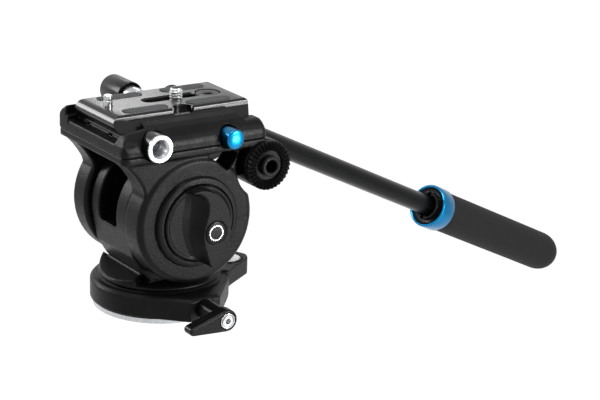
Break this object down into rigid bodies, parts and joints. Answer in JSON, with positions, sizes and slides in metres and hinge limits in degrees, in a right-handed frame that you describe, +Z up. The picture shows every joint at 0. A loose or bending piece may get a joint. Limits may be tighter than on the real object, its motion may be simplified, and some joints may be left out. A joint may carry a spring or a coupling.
{
  "type": "fluid video head",
  "caption": "Compact video tripod head: pan base, tilting cradle with sliding camera plate, lock knobs and a foam-gripped pan handle.",
  "frame": {"origin": "on the pan axis at the underside of the base, where the tripod screw enters", "axes": "+Z up along the pan axis, +X towards the operator's end with the pan handle, -X towards the lens end, -Y towards the tilt lock knob, +Y towards the side that carries the handle"},
  "size_m": [0.3925, 0.174, 0.1851],
  "materials": {
    "casting_black": "fine textured matte black powder coat on cast aluminium",
    "plate_black": "satin black anodised aluminium",
    "plastic_black": "moulded, satin",
    "tube_black": "satin black anodised tube",
    "foam_black": "closed-cell foam, matte",
    "rubber_grey": "ribbed, matte",
    "satin_aluminium": "turned, satin",
    "bright_steel": "machined, bright",
    "blue_anodised": "blue anodised, satin",
    "bearing_bronze": "sintered bronze",
    "friction_grey": "moulded friction compound",
    "vial_clear": "clear vial with pale liquid"
  },
  "bodies": {
    "base": {"base_plate": "satin_aluminium", "thread_insert": "bright_steel", "pan_spindle": "satin_aluminium", "base_screw_1": "bright_steel", "base_screw_2": "bright_steel", "base_screw_3": "bright_steel", "spindle_nut": "bright_steel"},
    "pan": {"pan_friction_ring": "friction_grey", "pan_bearing": "bearing_bronze", "pan_housing": "casting_black", "drum_body": "casting_black", "pan_screw_1": "bright_steel", "pan_screw_2": "bright_steel", "pan_screw_3": "bright_steel", "bubble_cup": "plastic_black", "bubble_vial": "vial_clear", "pan_lock_shoe": "bearing_bronze", "drag_cartridge": "plastic_black", "counterbalance_spring": "bright_steel"},
    "pan_lever": {"pan_lock_lever": "plastic_black", "pan_lock_screw": "bright_steel"},
    "tilt": {"tilt_axle": "bright_steel", "tilt_lock_disc": "friction_grey", "tilt_cradle": "casting_black", "tilt_lock_ring": "casting_black", "far_side_cover": "casting_black", "near_rosette": "casting_black", "far_rosette": "casting_black", "clamp_body": "casting_black", "clamp_screw_1": "bright_steel", "clamp_screw_2": "bright_steel", "clamp_screw_3": "bright_steel", "clamp_screw_4": "bright_steel", "accessory_port": "satin_aluminium", "button_spring": "bright_steel"},
    "tilt_knob": {"tilt_lock_knob": "casting_black", "tilt_knob_cap": "plastic_black", "tilt_lock_screw": "bright_steel"},
    "plate": {"camera_plate": "plate_black", "plate_pad_1": "rubber_grey", "plate_pad_2": "rubber_grey", "plate_pad_3": "rubber_grey", "plate_pad_4": "rubber_grey", "plate_bushing": "rubber_grey"},
    "plate_slider": {"screw_slider": "bright_steel"},
    "plate_screw": {"camera_screw": "bright_steel"},
    "pin": {"video_pin": "bright_steel"},
    "clamp_knob": {"plate_lock_bolt": "satin_aluminium", "plate_lock_knob": "plastic_black"},
    "jaw": {"clamp_jaw": "plate_black"},
    "button": {"safety_button": "blue_anodised"},
    "catch": {"safety_catch": "bright_steel"},
    "handle": {"handle_socket": "casting_black", "handle_tube": "tube_black", "grip_bush": "plastic_black", "grip_ring": "blue_anodised", "handle_grip": "foam_black"},
    "handle_knob": {"handle_clamp_knob": "plastic_black", "handle_clamp_bolt": "bright_steel"}
  },
  "joints": [
    {"name": "pan_turn", "type": "hinge", "parent": "base", "child": "pan", "pos_m": [0, 0, 0.0155], "axis": [0, 0, 1], "continuous": true},
    {"name": "tilt_turn", "type": "hinge", "parent": "pan", "child": "tilt", "pos_m": [0, 0, 0.0513], "axis": [0, 1, 0], "range_deg": [-75, 60]},
    {"name": "tilt_lock_turn", "type": "hinge", "parent": "tilt", "child": "tilt_knob", "pos_m": [0, 0, 0.0513], "axis": [0, 1, 0], "range_deg": [0, 90]},
    {"name": "pan_lock_turn", "type": "hinge", "parent": "pan", "child": "pan_lever", "pos_m": [0.00115, -0.05, 0.0095], "axis": [0, 1, 0], "range_deg": [-25, 60]},
    {"name": "plate_slide", "type": "slide", "parent": "tilt", "child": "plate", "axis": [1, 0, 0], "range_m": [-0.01, 0.03]},
    {"name": "screw_slide", "type": "slide", "parent": "plate", "child": "plate_slider", "axis": [1, 0, 0], "range_m": [-0.0145, 0.008]},
    {"name": "camera_screw_turn", "type": "hinge", "parent": "plate_slider", "child": "plate_screw", "pos_m": [0.008, 0, 0.1], "axis": [0, 0, 1], "continuous": true},
    {"name": "video_pin_press", "type": "slide", "parent": "plate", "child": "pin", "axis": [0, 0, -1], "range_m": [0, 0.005], "stiffness_N_per_m": 250},
    {"name": "clamp_knob_turn", "type": "hinge", "parent": "tilt", "child": "clamp_knob", "pos_m": [0.006, 0.04, 0.0944], "axis": [0, 1, 0], "range_deg": [0, 180]},
    {"name": "clamp_jaw_slide", "type": "slide", "parent": "tilt", "child": "jaw", "axis": [0, 1, 0], "range_m": [0, 0.002]},
    {"name": "safety_button_press", "type": "slide", "parent": "tilt", "child": "button", "axis": [0, 1, 0], "range_m": [0, 0.0025], "stiffness_N_per_m": 400},
    {"name": "safety_catch_drop", "type": "slide", "parent": "tilt", "child": "catch", "axis": [0, 0, -1], "range_m": [0, 0.0018]},
    {"name": "handle_turn", "type": "hinge", "parent": "tilt", "child": "handle", "pos_m": [0.0394, 0.0374, 0.0742], "axis": [0, 1, 0], "range_deg": [-60, 60]},
    {"name": "handle_knob_turn", "type": "hinge", "parent": "handle", "child": "handle_knob", "pos_m": [0.0394, 0.06, 0.0742], "axis": [0, 1, 0], "range_deg": [0, 180]}
  ],
  "couplings": [
    {"joint": "clamp_jaw_slide", "follows": "clamp_knob_turn", "m_per_rad": 0.00063},
    {"joint": "safety_catch_drop", "follows": "safety_button_press", "ratio": 0.7}
  ]
}
